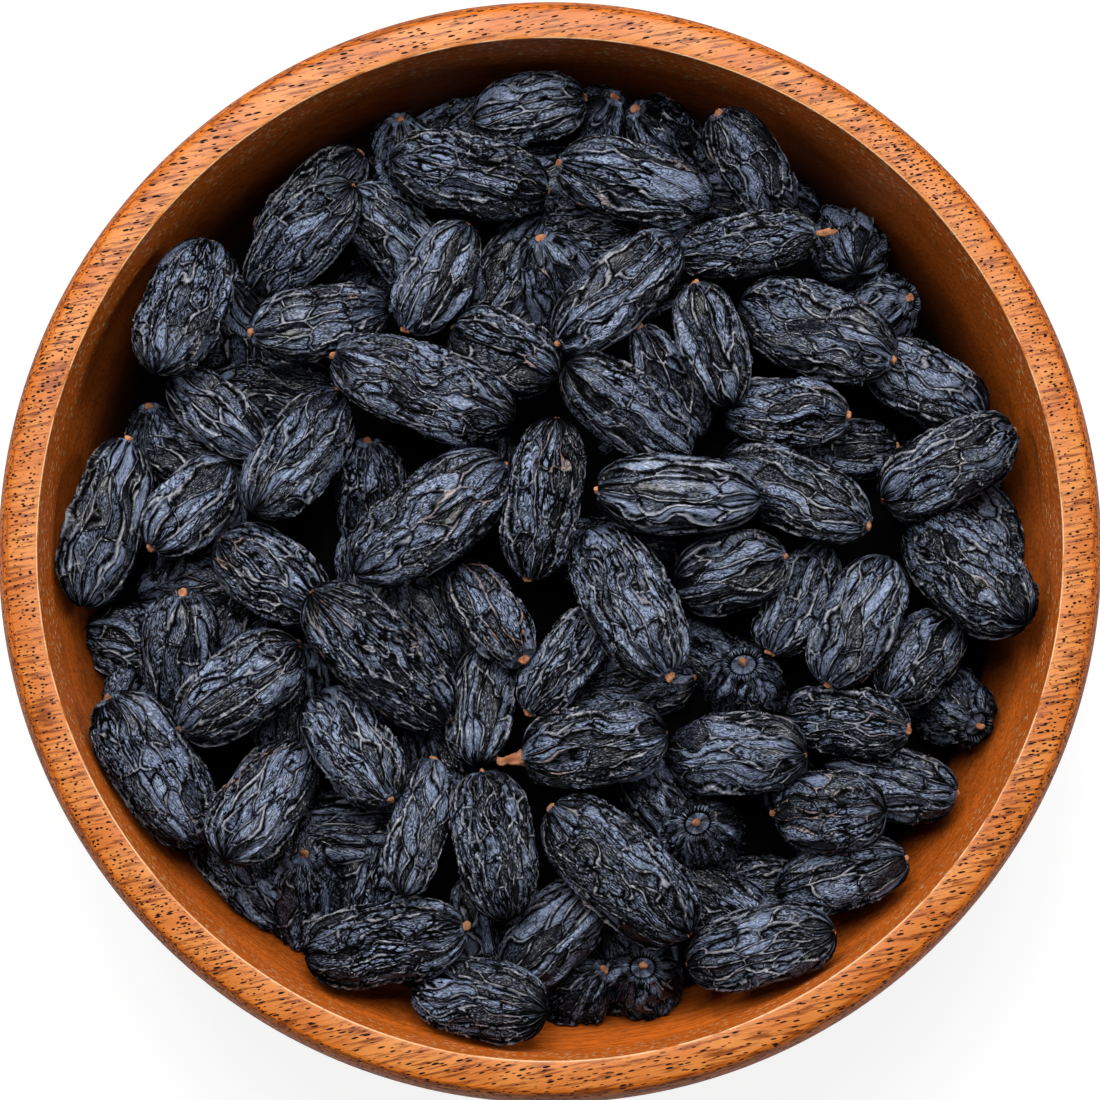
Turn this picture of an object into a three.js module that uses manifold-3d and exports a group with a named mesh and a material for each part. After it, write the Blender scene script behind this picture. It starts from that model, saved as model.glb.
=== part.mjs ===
// A turned wooden bowl heaped with black raisins, each with its dried cap stem.
// Millimetres, +Z up, with the origin on the table under the middle of the bowl's foot.
import * as THREE from "three";
import { mergeVertices } from "three/addons/utils/BufferGeometryUtils.js";
import Module from "manifold-3d";

const wasm = await Module();
wasm.setup();

// Bowl
const BOWL_RADIUS = 65; // at the shoulder, its widest
const BOWL_HEIGHT = 50;
const SHOULDER_DROP = 7; // from the rim down to the widest place
const RIM_OUTER = 63.4; // the flat band on top
const RIM_INNER = 60.5;
const RIM_EASE = 0.6; // its inner edge is eased by this
const WALL_STEEP = 12; // how far down the inside stays nearly upright
const WALL_LEAN = 1.5; // and how much narrower it is there
const FOOT_RADIUS = 29;
const FOOT_ROUND = 1.2;
const FLOOR_THICK = 8;
const BOWL_SIDES = 48;
const CURVE_STEPS = 6; // points along each curve of its profile

// Raisins
const FLATNESS = 0.88; // height of a raisin's section against its width
const RIDGES = 6; // lengthwise ridges of a raisin
const RIDGES_BELOW = 4; // and of one in the bed
const RIDGES_HIDDEN = 3;
const FURROW = [0.06, 0.17]; // depth of the furrows between them, as a share of the radius
const STEM_RADIUS = 0.6; // dried cap stem, at its foot
const STEM_LENGTH = 0.3;
const CLEAR = 0.3; // gap between pieces that touch
const WALL_CLEAR = 0.5; // room that a raisin keeps to the bowl's wall
const SNUG = 0.96; // ridges interlock a little, so raisins lie closer than their widths
const BALL_PLACES = [-0.8, -0.6, -0.4, -0.2, 0, 0.2, 0.4, 0.6, 0.8];

// Heap: the height at which the middle of an uppermost raisin lies
const HEAP_TOP = BOWL_HEIGHT - 2.5; // over the middle of the bowl
const HEAP_FALL = 5.5; // lower at HEAP_RADIUS
const HEAP_RADIUS = 52;

// Bed of raisins under the separate ones
const CORE_DEPTH = 13; // its core lies this far below that height
const FILL_DEPTH = 10.5; // and the hidden raisins on the core this far
const FILL_COUNT = 26;
const FILL_SIZE = [16, 9.4]; // length, width
const CORE_SIDES = 24;

// Raisins on top, as the photo shows them from above, in settling order:
// x, y, heading of the stem end in degrees, length, width, depth below the heap's top, cap stem if long.
const UPPER = [
  [-2.5, 53.5, 12, 14, 8.5, 3],
  [-5.5, 24.5, 155, 14, 9.5, 3],
  [23.5, 37, 8, 17.5, 7.5, 3, 2.4],
  [-40, 16.5, 138, 15, 7.5, 3],
  [24, 46, 125, 16, 8.5, 2],
  [21.5, -2.5, 15, 14, 9.5, 2],
  [-34, -3, 145, 15, 10, 2],
  [35.5, -20, -8, 15.5, 8.5, 3],
  [34.5, -38.5, 15, 16.5, 8.5, 3],
  [29.5, 7, -25, 20, 9, 2],
  [28, 16.5, -5, 15.5, 8.5, 3],
  [50, -2.5, 134, 20, 11, 1],
  [-8.5, -53.5, 170, 18, 9.5, 1],
  [25.5, -47.5, 193, 18.5, 9.5, 1],
  [-9.5, 44.5, -10, 19.5, 10, 0],
  [10, 43.5, 167, 19.5, 9.5, 0],
  [-29, 37, 223, 19, 9, 1],
  [-43, 28.5, 69, 18.5, 10, 0],
  [-13, 32, 240, 15, 8, 1],
  [-27.5, 28, 192, 17.5, 9, 1],
  [-52.5, 3.5, 75, 21, 9.5, 0],
  [-42, 5, 227, 14, 9, 1],
  [-30, 11.5, 55, 19, 9.5, 0],
  [-47, -26, 123, 21.5, 10.5, 0],
  [-33.5, -29.5, 58, 17.5, 10, 0],
  [-23, -23, -55, 16.5, 9.5, 0],
  [-15, -32.5, 78, 17.5, 7, 0],
  [-6.5, -34, 100, 18, 10, 0],
  [4.5, -24, 190, 17.5, 10, 0, 3.2],
  [22, -24, 178, 18, 10, 0],
  [9, 16.5, -33, 19.5, 9, 1],
  [-0.5, 6, 260, 19.5, 9, 0],
  [9.5, -6, -62, 21, 11, 0, 1.4],
  [31.5, 26, -22, 20, 11, 0],
  [19, 25, 107, 15.5, 8.5, 0],
  [47.5, 9.5, 28, 18.5, 9.5, 0],
  [36.5, -8.5, 243, 17.5, 9.5, 0],
  [33, -31, 180, 13.5, 10, 0, 1.6],
  [-36.5, -16, 215, 17.5, 10, 0],
  [-20, -12, -43, 23, 10.5, 0],
  [-13.5, 3, 37, 22.5, 11, 0],
  [-15, 18.5, 160, 23, 10.5, 0],
  [8.5, 29.5, 222, 19.5, 9, 0],
  [14, 6.5, 177, 19.5, 9.5, 0],
  [-19, -46, 10, 20, 10, 0, 1.4],
  [8, -38, 137, 22.5, 11, 0],
];

// Raisins partly covered by those: the same columns.
const MIDDLE = [
  [-7, -8, -55, 15.5, 8, 5],
  [44, -12.5, 50, 13.5, 8.5, 5],
  [-19.5, 38, 135, 15.5, 9, 5],
  [-30, 45, 46, 17.5, 8.5, 5],
  [45, 20, -30, 16, 9, 5],
  [14, 20, 120, 15.5, 7, 6],
  [29.5, -5.5, 242, 15, 8, 5],
  [1.5, -13, 235, 15.5, 7.5, 6],
  [-8, -18, 83, 15, 8, 6],
  [-44, -12, 87, 15.5, 9.5, 4],
  [42, -28, -12, 16.5, 9, 5],
  [0.5, -45, 45, 15.5, 9.5, 6],
];

// Raisins of the bed that show in the gaps: x, y, heading, length, width, depth, and how many degrees
// the stem end is tilted up.
const BED = [
  [14.5, 50, 140, 16, 8.5, 8, 45],
  [-17.5, 47, 95, 16, 9, 8, 45],
  [1.5, 32, 115, 16, 9.5, 7, 38],
  [36, 38, 100, 16, 9.5, 8, -55],
  [38.5, 29, 20, 16, 9.5, 8, 50],
  [-21.5, 6.5, 92, 16, 9, 6, 28],
  [34, 12.5, 5, 16, 8, 7, 8],
  [47.5, -17.5, -40, 16, 9.5, 8, 50],
  [-49, -10.5, 170, 15, 9.5, 7, 0],
  [18.5, -34, 120, 16, 10, 9, 72],
  [-29.5, -41.5, 88, 16, 10, 7, 40],
  [11, -51, 90, 16, 10, 9, 75],
  [23.5, -16.5, 100, 16, 10, 10, 62],
  [6, 52, 60, 15, 8.5, 10, 60],
  [-12.5, 52, 40, 15, 8.5, 11, 0],
  [-47, 11.5, 100, 16, 8.5, 10, 35],
  [-43.5, 12, 160, 16, 8.5, 9, 0],
  [-33.5, 20, 0, 16, 8.5, 11, 10],
  [-37.5, 27, -70, 16, 8.5, 10, -30],
  [53, 3.5, -60, 16, 9, 9, 0],
  [-42, -3, 15, 16, 8.5, 9, 10],
  [-38, -7, 60, 16, 8.5, 10, 0],
  [-36.5, -38, -50, 16, 9, 9, -10],
  [-24, -32.5, 0, 16, 9, 9, 0],
  [-7.5, -45.5, -75, 16, 8.5, 9, -15],
  [3, -53, 45, 16, 9.5, 10, 50],
  [20, -41.5, -35, 16, 9, 9, 0],
  [26, -40, 180, 15, 8.5, 11, 0],
  [9.5, -16, 10, 16, 8.5, 10, 0],
  [-21, -37.5, 75, 16, 8.5, 11, 0],
  [-14.5, -7, -60, 17, 9, 9, 0],
  [3.5, 39.5, 0, 16, 8.5, 10, 20],
  [11, 38.5, 0, 16, 8.5, 11, 0],
  [-5, 34, 60, 16, 8.5, 10, 0],
];

const WOOD = new THREE.MeshStandardMaterial({ color: 0xd9905c, roughness: 0.42, metalness: 0 });
const SKIN = new THREE.MeshStandardMaterial({ color: 0x2a2e36, roughness: 0.5, metalness: 0 });

// How finely a raisin is made: its lengthwise ridges, and the places of its rings from tip to stem end.
const SEPARATE = { ridges: RIDGES, places: [-0.9, -0.52, 0.02, 0.56, 0.9] };
const SHOWN = { ridges: RIDGES_BELOW, places: [-0.85, -0.3, 0.35, 0.88] };
const HIDDEN = { ridges: RIDGES_HIDDEN, places: [-0.8, 0, 0.8] };

const rad = THREE.MathUtils.degToRad;

// A seeded stream of numbers between 0 and 1.
function draws(seed) {
  let state = seed * 2654435761;
  return () => {
    state = (state + 0x6d2b79f5) | 0;
    let mixed = Math.imul(state ^ (state >>> 15), 1 | state);
    mixed = (mixed + Math.imul(mixed ^ (mixed >>> 7), 61 | mixed)) ^ mixed;
    return ((mixed ^ (mixed >>> 14)) >>> 0) / 4294967296;
  };
}

// A geometry with its shared vertices merged and its collapsed triangles dropped.
function merged(geometry) {
  const bare = new THREE.BufferGeometry();
  bare.setAttribute("position", geometry.getAttribute("position"));
  bare.setIndex(geometry.index);
  const whole = mergeVertices(bare, 1e-3);
  const kept = [];
  for (let i = 0; i < whole.index.count; i += 3) {
    const [a, b, c] = [0, 1, 2].map((k) => whole.index.getX(i + k));
    if (a !== b && b !== c && c !== a) kept.push(a, b, c);
  }
  whole.setIndex(kept);
  return whole;
}

function solidOf(geometry) {
  const vertProperties = new Float32Array(geometry.attributes.position.array);
  const triVerts = new Uint32Array(geometry.index.array);
  return new wasm.Manifold(new wasm.Mesh({ numProp: 3, vertProperties, triVerts }));
}

function geometryOf(solid) {
  const mesh = solid.getMesh();
  const geometry = new THREE.BufferGeometry();
  geometry.setAttribute("position", new THREE.BufferAttribute(mesh.vertProperties, 3));
  geometry.setIndex(new THREE.BufferAttribute(mesh.triVerts, 1));
  geometry.computeVertexNormals();
  return geometry;
}

function namedMesh(name, geometry, material) {
  const mesh = new THREE.Mesh(geometry, material);
  mesh.name = name;
  return mesh;
}

// A profile of radius and height, turned about Z.
function turned(profile, sides) {
  return merged(new THREE.LatheGeometry(profile, sides).rotateX(Math.PI / 2));
}

// The inside of the bowl, from the rim's flat band down to the middle of the floor.
function insideProfile() {
  const steepFoot = BOWL_HEIGHT - WALL_STEEP;
  const path = new THREE.Path();
  path.moveTo(RIM_INNER, BOWL_HEIGHT);
  path.lineTo(RIM_INNER - RIM_EASE, BOWL_HEIGHT - RIM_EASE);
  path.lineTo(RIM_INNER - WALL_LEAN, steepFoot);
  path.bezierCurveTo(RIM_INNER - 4, steepFoot - 12, RIM_INNER - 20, FLOOR_THICK + 1, 0, FLOOR_THICK);
  return path.getPoints(CURVE_STEPS);
}

// The outside, from the middle of the foot up to the rim's flat band.
function outsideProfile() {
  const shoulder = BOWL_HEIGHT - SHOULDER_DROP;
  const path = new THREE.Path();
  path.moveTo(0, 0);
  path.lineTo(FOOT_RADIUS, 0);
  path.lineTo(FOOT_RADIUS + FOOT_ROUND, FOOT_ROUND / 2);
  path.bezierCurveTo(BOWL_RADIUS - 17, 6, BOWL_RADIUS, shoulder - 22, BOWL_RADIUS, shoulder);
  path.quadraticCurveTo(BOWL_RADIUS, BOWL_HEIGHT - 0.8, RIM_OUTER, BOWL_HEIGHT);
  return path.getPoints(CURVE_STEPS);
}

function bowl() {
  return turned([...outsideProfile(), ...insideProfile()], BOWL_SIDES);
}

// Radius of the inside at a height.
function wallRadius(z) {
  const inside = insideProfile();
  for (let i = 1; i < inside.length; i++) {
    const [above, below] = [inside[i - 1], inside[i]];
    if (z <= above.y && z >= below.y && above.y > below.y) {
      return THREE.MathUtils.mapLinear(z, below.y, above.y, below.x, above.x);
    }
  }
  return RIM_INNER;
}

function heapHeight(x, y) {
  return HEAP_TOP - (HEAP_FALL * (x * x + y * y)) / HEAP_RADIUS ** 2;
}

// Radius of a raisin's outline at place t along it, from -1 at the tip to 1 at the stem end.
function outline(t) {
  return Math.sqrt(1 - Math.abs(t) ** 3);
}

// A raisin with its measures, its middle, and the direction of its stem end.
function raisinFrom([x, y, heading, length, width, depth, last], kind, seed) {
  const tilt = kind === SEPARATE ? 0 : last;
  const stem = kind === SEPARATE ? (last ?? STEM_LENGTH) : STEM_LENGTH;
  const axis = new THREE.Vector3(1, 0, 0);
  axis.applyEuler(new THREE.Euler(0, -rad(tilt), rad(heading), "ZYX"));
  const middle = new THREE.Vector3(x, y, heapHeight(x, y) - depth);
  return { ...kind, seed, length, width, stem, axis, middle, wanted: middle.clone() };
}

// The balls that stand for a raisin while the heap settles.
function ballsOf(raisin) {
  return BALL_PLACES.map((t) => ({
    t,
    centre: raisin.middle.clone().addScaledVector(raisin.axis, (t * raisin.length) / 2),
    radius: (SNUG * outline(t) * raisin.width) / 2,
  }));
}

// Shifts a raisin by what one of its balls has to move. A push up or down at an end also tilts it.
function nudge(raisin, t, shift) {
  const reach = raisin.length / 2;
  raisin.middle.add(shift);
  raisin.axis.z += (0.9 * t * shift.z) / reach;
  raisin.axis.normalize();
}

// Pushes two raisins apart where their balls meet, mostly up and down.
function separate(one, other) {
  if (one.middle.distanceTo(other.middle) > (one.length + other.length) / 2 + 2) return;
  const sideways = 0.6;
  let worst = { overlap: 0 };
  for (const a of ballsOf(one)) {
    for (const b of ballsOf(other)) {
      const between = a.centre.clone().sub(b.centre);
      between.z /= FLATNESS;
      const overlap = a.radius + b.radius + CLEAR - between.length();
      if (overlap > worst.overlap) worst = { overlap, between, a, b };
    }
  }
  if (worst.overlap <= 0) return;
  const push = worst.between.normalize();
  const give = sideways * (push.x ** 2 + push.y ** 2) + push.z ** 2;
  const shift = new THREE.Vector3(push.x * sideways, push.y * sideways, push.z * FLATNESS);
  shift.multiplyScalar((0.5 * worst.overlap) / give);
  nudge(one, worst.a.t, shift);
  nudge(other, worst.b.t, shift.negate());
}

// Keeps a raisin clear of the bowl's wall.
function keepInside(raisin) {
  for (const { t, centre, radius } of ballsOf(raisin)) {
    const out = Math.hypot(centre.x, centre.y);
    const over = out + radius + WALL_CLEAR - wallRadius(centre.z - radius * 0.5);
    if (over > 0) nudge(raisin, t, new THREE.Vector3(-centre.x, -centre.y, 0).multiplyScalar(over / out));
  }
}

// Lets the raisins find their places: each is drawn to where the photo shows it, and none may touch another.
function settle(raisins) {
  const rounds = 400;
  for (let round = 0; round < rounds; round++) {
    const pull = round < rounds * 0.7 ? 0.03 : 0;
    for (const raisin of raisins) raisin.middle.lerp(raisin.wanted, pull);
    raisins.forEach((one, i) => raisins.slice(i + 1).forEach((other) => separate(one, other)));
    raisins.forEach(keepInside);
  }
}

// Lets each raisin down, the lowest first and then all once more, until it lies on what is under it.
function letDown(raisins, fixed) {
  const step = 0.1;
  const most = 3;
  const lying = raisins.map((raisin) => ({ raisin, solid: solidOf(raisinGeometry(raisin)) }));
  lying.sort((one, other) => one.raisin.middle.z - other.raisin.middle.z);
  for (const one of [...lying, ...lying]) {
    const near = lying.filter((other) => other !== one
      && other.raisin.middle.distanceTo(one.raisin.middle) < FILL_SIZE[0] * 1.6);
    const others = [...fixed, ...near.map((other) => other.solid)];
    const clearAt = (rise) => {
      const moved = one.solid.translate([0, 0, rise]);
      return others.every((other) => moved.minGap(other, 1) >= CLEAR);
    };
    let rise = 0;
    while (!clearAt(rise) && rise < most) rise += step;
    while (clearAt(rise - step) && rise > -most) rise -= step;
    one.raisin.middle.z += rise;
    one.solid = one.solid.translate([0, 0, rise]);
  }
}

// Lowers a raisin of the bed until it clears those above it, and on until it has grown into the bed's body.
function tuckUnder(raisin, above, body) {
  const step = 0.25;
  const least = 0.06; // share of it that lies in the body
  const near = above.filter((other) => other.middle.distanceTo(raisin.middle) < raisin.length * 1.4);
  const solids = near.map((other) => other.solid);
  let solid = solidOf(raisinGeometry(raisin));
  const volume = solid.volume();
  const lower = () => {
    raisin.middle.z -= step;
    solid = solid.translate([0, 0, -step]);
  };
  while (solids.some((other) => solid.minGap(other, 1) < CLEAR)) lower();
  while (body.intersect(solid).volume() < least * volume) lower();
  return solid;
}

// One raisin as a closed form: a turned outline with a dished stem end and the cap stem in it,
// furrowed lengthwise, flattened, and laid along its axis.
function raisinGeometry(raisin) {
  const { ridges, places } = raisin;
  const draw = draws(raisin.seed);
  const half = raisin.length / 2;
  const profile = [new THREE.Vector2(0, -half)];
  for (const t of places) profile.push(new THREE.Vector2((outline(t) * raisin.width) / 2, t * half));
  profile.push(new THREE.Vector2(STEM_RADIUS, 0.88 * half), new THREE.Vector2(0, half + raisin.stem));
  const geometry = merged(new THREE.LatheGeometry(profile, ridges * 2).rotateZ(-Math.PI / 2));
  const furrows = Array.from({ length: ridges * 2 }, () => THREE.MathUtils.lerp(...FURROW, draw()));
  const wander = 0.12 + 0.1 * draw();
  const phase = 6 * draw();
  const column = Math.PI / ridges;
  const position = geometry.attributes.position;
  for (let i = 0; i < position.count; i++) {
    const [x, y, z] = [position.getX(i), position.getY(i), position.getZ(i)];
    const radius = Math.hypot(y, z);
    if (radius < STEM_RADIUS * 1.5) continue;
    const angle = Math.atan2(z, y);
    const line = ((Math.round(angle / column) % furrows.length) + furrows.length) % furrows.length;
    const deep = line % 2 ? furrows[line] : 0.03 * draw();
    const turn = angle + wander * Math.sin((3 * x) / half + phase + line);
    const reach = radius * (1 - deep);
    position.setXYZ(i, x, reach * Math.cos(turn), reach * Math.sin(turn));
  }
  const across = new THREE.Vector3(0, 0, 1).cross(raisin.axis).normalize();
  const up = raisin.axis.clone().cross(across);
  const laid = new THREE.Matrix4().makeBasis(raisin.axis, across, up.multiplyScalar(FLATNESS));
  laid.setPosition(raisin.middle);
  return geometry.applyMatrix4(laid);
}

// The hidden raisins on the core, at even spacing from the middle outwards.
function filling() {
  const golden = Math.PI * (3 - Math.sqrt(5));
  return Array.from({ length: FILL_COUNT }, (_, i) => {
    const out = HEAP_RADIUS * Math.sqrt((i + 0.5) / FILL_COUNT);
    const x = out * Math.cos(i * golden);
    const y = out * Math.sin(i * golden);
    return raisinFrom([x, y, i * 67, ...FILL_SIZE, FILL_DEPTH, 0], HIDDEN, i);
  });
}

// The room inside the bowl up to a height, a little clear of its wall, under a low dome.
function roomTo(edge, rise, sides) {
  const clear = CLEAR + 0.1;
  const wall = insideProfile().filter((p) => p.y < edge);
  const bottom = wall.map((p) => new THREE.Vector2(Math.max(0, p.x - clear), p.y + clear)).reverse();
  const rim = wallRadius(edge) - clear;
  const dome = [1, 0.8, 0.4, 0].map((share) => {
    return new THREE.Vector2(share * rim, edge + rise * (1 - share ** 2));
  });
  return solidOf(turned([...bottom, ...dome], sides));
}

// The raisins below the separate ones, grown together with a core into one body and pressed flat by the wall.
function raisinBed(separateOnes) {
  const above = separateOnes.map((raisin) => {
    return { middle: raisin.middle, solid: solidOf(raisinGeometry(raisin)) };
  });
  const shown = BED.map((row, i) => raisinFrom(row, SHOWN, 100 + i));
  const coreEdge = HEAP_TOP - HEAP_FALL - CORE_DEPTH;
  let body = roomTo(coreEdge, HEAP_FALL, CORE_SIDES);
  for (const raisin of [...shown, ...filling()]) body = body.add(tuckUnder(raisin, above, body));
  return body.intersect(roomTo(BOWL_HEIGHT - 1, 0, CORE_SIDES));
}

const separateRaisins = [...UPPER, ...MIDDLE].map((row, i) => raisinFrom(row, SEPARATE, i + 1));
settle(separateRaisins);
const bed = raisinBed(separateRaisins);
const wood = bowl();
letDown(separateRaisins, [solidOf(wood), bed]);

const bowlOfRaisins = new THREE.Group();
bowlOfRaisins.add(namedMesh("bowl", wood, WOOD), namedMesh("raisin_bed", geometryOf(bed), SKIN));
separateRaisins.forEach((raisin) => {
  const name = "raisin_" + String(raisin.seed).padStart(2, "0");
  bowlOfRaisins.add(namedMesh(name, raisinGeometry(raisin), SKIN));
});

export default bowlOfRaisins;
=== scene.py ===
import bpy
import numpy as np
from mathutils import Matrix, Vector
from mathutils.bvhtree import BVHTree


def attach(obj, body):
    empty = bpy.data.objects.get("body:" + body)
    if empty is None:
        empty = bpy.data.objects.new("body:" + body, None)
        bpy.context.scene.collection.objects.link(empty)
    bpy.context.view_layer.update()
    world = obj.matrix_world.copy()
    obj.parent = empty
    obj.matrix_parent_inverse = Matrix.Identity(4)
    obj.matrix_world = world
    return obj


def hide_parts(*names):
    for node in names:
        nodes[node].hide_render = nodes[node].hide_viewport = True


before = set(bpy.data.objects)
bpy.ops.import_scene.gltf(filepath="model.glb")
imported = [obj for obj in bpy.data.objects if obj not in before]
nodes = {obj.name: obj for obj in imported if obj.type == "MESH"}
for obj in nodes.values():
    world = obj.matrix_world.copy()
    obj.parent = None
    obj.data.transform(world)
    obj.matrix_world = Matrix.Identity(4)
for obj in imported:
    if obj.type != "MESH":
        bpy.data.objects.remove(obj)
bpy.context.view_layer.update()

MM = 0.001


# Bowl: one piece of open-pored orange-brown wood, turned on a lathe, sanded smooth and varnished satin.
# It stands on a flat foot. The rim is a flat band with a soft shoulder outside and an eased edge inside,
# and the inside wall drops almost upright before it rounds into the floor.
BOWL_RADIUS = 65
BOWL_HEIGHT = 50
SHOULDER_DROP = 7
RIM_OUTER = 63.4
RIM_INNER = 60.5
RIM_EASE = 0.6
WALL_STEEP = 12
WALL_LEAN = 1.5
FOOT_RADIUS = 29
FOOT_ROUND = 1.2
FLOOR_THICK = 8
BOWL_SIDES = 256
CURVE_STEPS = 16
EDGE_STEPS = 5
WALL_STEPS = 9
INSIDE_LEAD = (4, 12)
INSIDE_LAND = (20, 1)
OUTSIDE_LEAD = (17, 6)
OUTSIDE_LAND = 22
SHOULDER_SQUARE = 0.8

GRAIN_TURN = 12
VARNISHED_WOOD = (0.66, 0.185, 0.030, 1)
WOOD_PALE = (0.78, 0.275, 0.062, 1)
WOOD_SIDE = (0.76, 0.185, 0.012, 1)
# The inner wall's colour, lifted above the wood's own as painted light for the little light that reaches the
# wall.
WOOD_INSIDE_LIT = (1.0, 0.215, 0.022, 1)
WOOD_STREAK = (0.22, 0.038, 0.003, 1)
# Colour of the painted highlight along the rim's eased inner edge.
WOOD_EDGE_HIGHLIGHT = (1.0, 0.60, 0.32, 1)
# Colour of the painted glints on the upper inner wall.
WOOD_GLINT = (1.0, 0.55, 0.24, 1)
# Near-black wood colour: painted shade low on the inner wall, and the dim colour that bounced light sees.
WOOD_SHADE_COLOUR = (0.012, 0.0035, 0.0008, 1)
PORE = (0.010, 0.004, 0.003, 1)
WOOD_ROUGH = 0.42
PORE_ROUGH = 0.45
RIM_COAT = 0.25
PATCH_CELL = (12, 5, 5)
STREAK_CELL = (5, 0.5, 0.5)
TURNED_CELL = (0.3, 0.6, 1)
TURNED_DRIFT = (0.2, 0.23)
STREAKS_INSIDE = 0.5
PORE_BEND = (0.5, 0.25, 0.25)
PORE_DOTS = (0.7, 0.42, 0.42)
PORE_DASHES = (1.4, 0.37, 0.37)
PORE_FADE = 0.3
PORES_INSIDE = 0.3
GLINT_CELL = (1.0, 1.0, 1.0)
GLINTS_FROM = 37
SHADE_FROM = 43
SHADE_TO = 27
SHADE_RISE = 4
BOUNCE_DARK = 0.75


def bezier(start, lead, land, end, steps=CURVE_STEPS):
    """Points of a cubic curve after its start, as radius and height."""
    t = np.linspace(0, 1, steps + 1)[1:, None]
    start, lead, land, end = (np.array(point, float) for point in (start, lead, land, end))
    return (1 - t) ** 3 * start + 3 * (1 - t) ** 2 * t * lead + 3 * (1 - t) * t ** 2 * land + t ** 3 * end


def bowl_inside():
    """The inside of the bowl from the rim's flat band down to the middle of the floor."""
    foot = BOWL_HEIGHT - WALL_STEEP
    eased = (RIM_INNER - RIM_EASE, BOWL_HEIGHT - RIM_EASE)
    corner = (RIM_INNER - RIM_EASE, BOWL_HEIGHT)
    edge = bezier((RIM_INNER, BOWL_HEIGHT), corner, corner, eased, EDGE_STEPS)
    upright = np.linspace(eased, (RIM_INNER - WALL_LEAN, foot), WALL_STEPS)[1:]
    lead = (RIM_INNER - INSIDE_LEAD[0], foot - INSIDE_LEAD[1])
    land = (RIM_INNER - INSIDE_LAND[0], FLOOR_THICK + INSIDE_LAND[1])
    floor = bezier(upright[-1], lead, land, (0, FLOOR_THICK), CURVE_STEPS * 2)
    return np.vstack([[(RIM_INNER, BOWL_HEIGHT)], edge, upright, floor])


def bowl_outside():
    """The outside from the middle of the foot up to the rim's flat band."""
    shoulder = BOWL_HEIGHT - SHOULDER_DROP
    foot = (FOOT_RADIUS + FOOT_ROUND, FOOT_ROUND / 2)
    lead = (BOWL_RADIUS - OUTSIDE_LEAD[0], OUTSIDE_LEAD[1])
    land = (BOWL_RADIUS, shoulder - OUTSIDE_LAND)
    side = bezier(foot, lead, land, (BOWL_RADIUS, shoulder), CURVE_STEPS * 2)
    corner = np.array((BOWL_RADIUS, BOWL_HEIGHT - SHOULDER_SQUARE))
    rim = np.array((RIM_OUTER, BOWL_HEIGHT))
    lead = side[-1] + (corner - side[-1]) * 2 / 3
    land = rim + (corner - rim) * 2 / 3
    foot_face = [(share * FOOT_RADIUS, 0) for share in (0, 0.5, 1)]
    return np.vstack([foot_face, [foot], side, bezier(side[-1], lead, land, rim)])


def turned_form(profile, sides):
    """Points, in millimetres, and faces of a closed body turned about Z. Its profile of radius and height
    starts and ends on the axis."""
    turn = np.arange(sides) * 2 * np.pi / sides
    rings = [(r * np.cos(turn), r * np.sin(turn), np.full(sides, z)) for r, z in profile[1:-1]]
    points = np.concatenate([np.stack(ring, 1) for ring in rings])
    points = np.vstack([points, (0, 0, profile[0][1]), (0, 0, profile[-1][1])])
    return points, ring_faces(len(rings), sides)


def ring_faces(rings, columns):
    """Faces of a body made of rings of points, closed by one point at each end."""
    here = np.arange(columns)
    after = (here + 1) % columns
    low = (np.arange(rings - 1) * columns)[:, None]
    quads = np.stack([low + here, low + after, low + columns + after, low + columns + here], -1)
    quads = quads.reshape(-1, 4)
    tip = rings * columns
    top = (rings - 1) * columns
    first = [(tip, int(b), int(a)) for a, b in zip(here, after)]
    last = [(int(top + a), int(top + b), tip + 1) for a, b in zip(here, after)]
    return quads.tolist() + first + last


def new_piece(name, points, faces):
    """A smooth object with its mesh, in metres, from points in millimetres."""
    mesh = bpy.data.meshes.new(name)
    mesh.from_pydata((points * MM).tolist(), [], faces)
    mesh.shade_smooth()
    piece = bpy.data.objects.new(name, mesh)
    bpy.context.scene.collection.objects.link(piece)
    return piece


def add_node(tree, kind, inputs=None, **settings):
    """A node with its settings made, its plain inputs set and its linked inputs joined."""
    node = tree.nodes.new(kind)
    for key, value in settings.items():
        setattr(node, key, value)
    for key, value in (inputs or {}).items():
        if isinstance(value, bpy.types.NodeSocket):
            tree.links.new(value, node.inputs[key])
        else:
            node.inputs[key].default_value = value
    return node


def ramp(tree, value, low, high, result_low=0.0, result_high=1.0):
    """How far a value has gone from low to high, with soft ends."""
    spans = {"Value": value, "From Min": low, "From Max": high, "To Min": result_low, "To Max": result_high}
    return add_node(tree, "ShaderNodeMapRange", spans, interpolation_type="SMOOTHSTEP").outputs["Result"]


def maths(tree, operation, first, second=0.0, third=0.0):
    """The result of one sum on values that change over the surface."""
    return add_node(tree, "ShaderNodeMath", {0: first, 1: second, 2: third}, operation=operation).outputs[0]


def colour_mix(tree, share, first, second):
    """Mixes two colours by a share."""
    return add_node(tree, "ShaderNodeMix", {0: share, 6: first, 7: second}, data_type="RGBA").outputs[2]


def new_material(name, rough, **constants):
    """A material with a Principled shader and its plain values, ready for its pattern."""
    material = bpy.data.materials.new(name)
    material.use_nodes = True
    tree = material.node_tree
    shader = tree.nodes["Principled BSDF"]
    shader.inputs["Roughness"].default_value = rough
    for key, value in constants.items():
        shader.inputs[key.replace("_", " ")].default_value = value
    return material, tree, shader


def grain_place(tree):
    """Places on the piece in millimetres, turned so that the wood's grain runs along X."""
    place = add_node(tree, "ShaderNodeTexCoord").outputs["Object"]
    spin = {"Vector": place, "Rotation": (0, 0, np.radians(-GRAIN_TURN)), "Scale": (1000, 1000, 1000)}
    return add_node(tree, "ShaderNodeMapping", spin).outputs["Vector"]


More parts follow.
